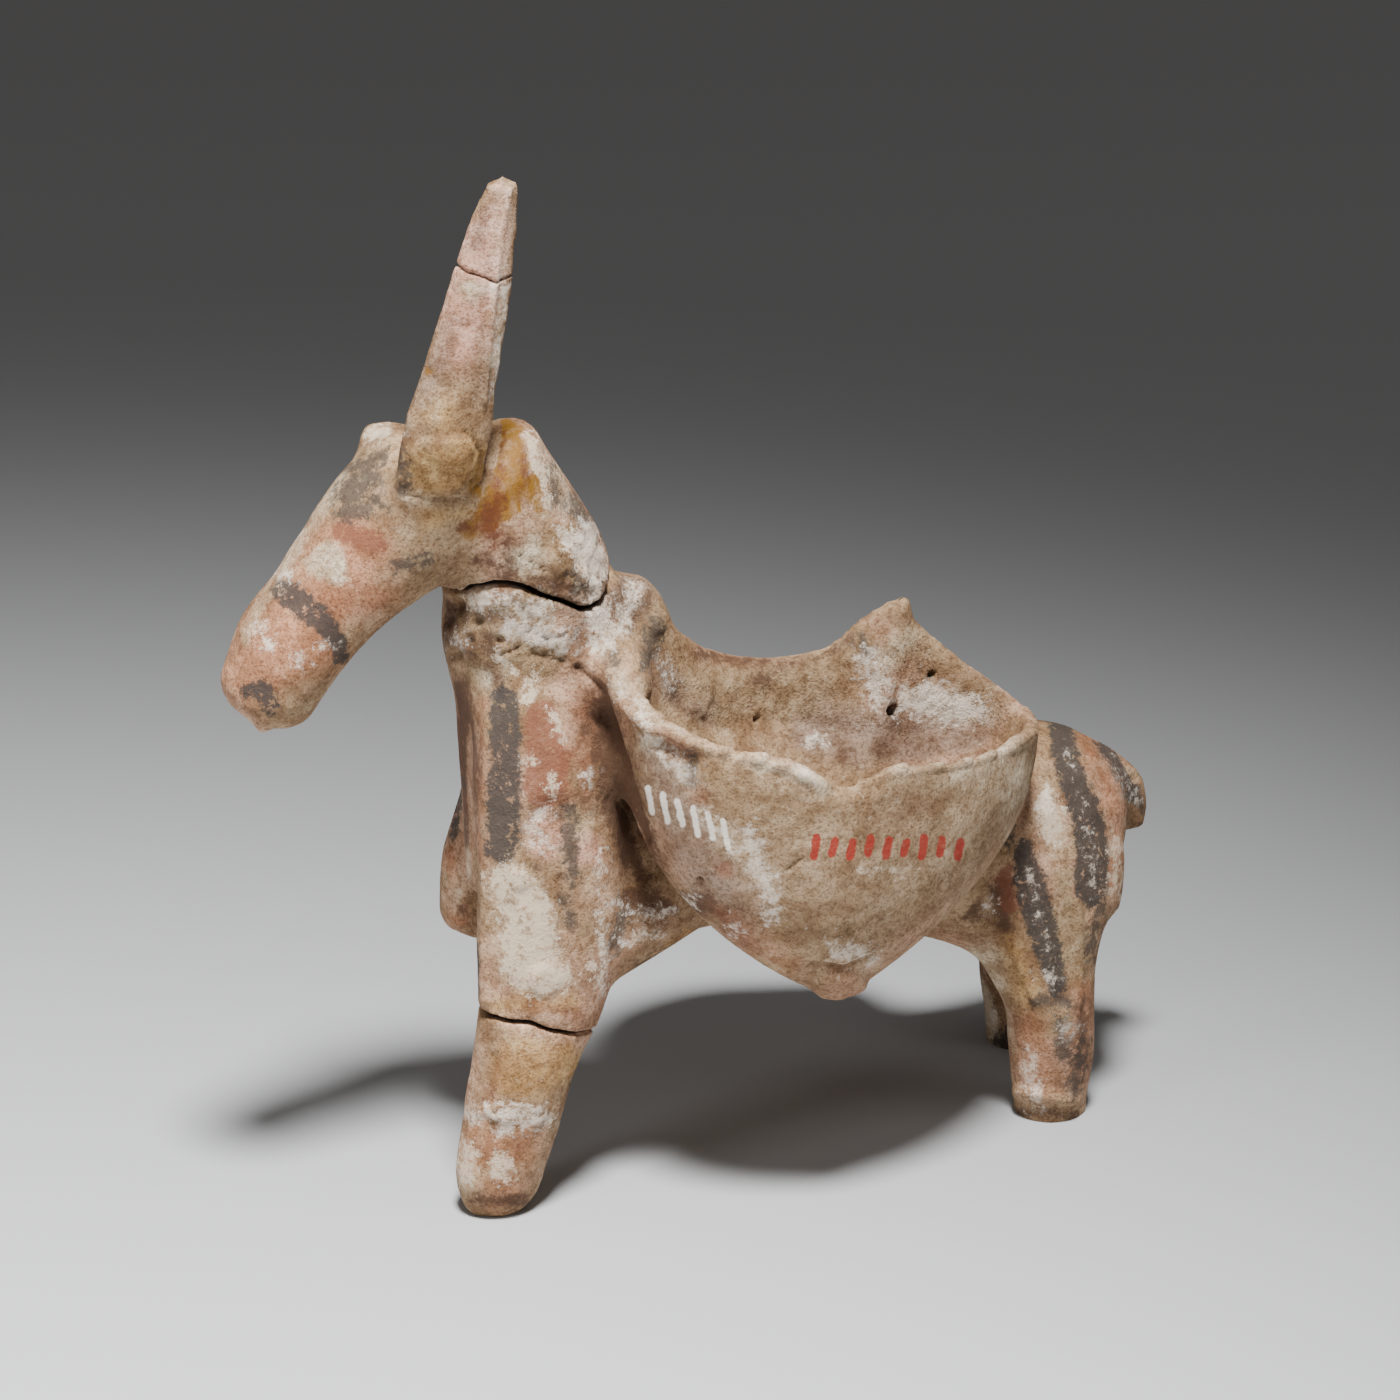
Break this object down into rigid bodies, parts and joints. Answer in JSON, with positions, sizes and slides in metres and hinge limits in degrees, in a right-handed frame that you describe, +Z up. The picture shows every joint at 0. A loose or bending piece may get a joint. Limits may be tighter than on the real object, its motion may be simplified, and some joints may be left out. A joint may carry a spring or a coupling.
{
  "type": "donkey figurine",
  "caption": "Hand-modelled terracotta donkey standing with an open pannier on each flank, painted in stripes; an ear, a lower foreleg and the tail's end are lost.",
  "frame": {"origin": "on the ground, under the middle of the figure's outline in plan", "axes": "-X is the way the head points, -Y is the donkey's left side, +Z is up"},
  "size_m": [0.1304, 0.0605, 0.1436],
  "materials": {
    "painted_clay": "matt fired clay with worn white slip and red and black paint"
  },
  "bodies": {
    "root": {"donkey": "painted_clay"}
  },
  "joints": []
}
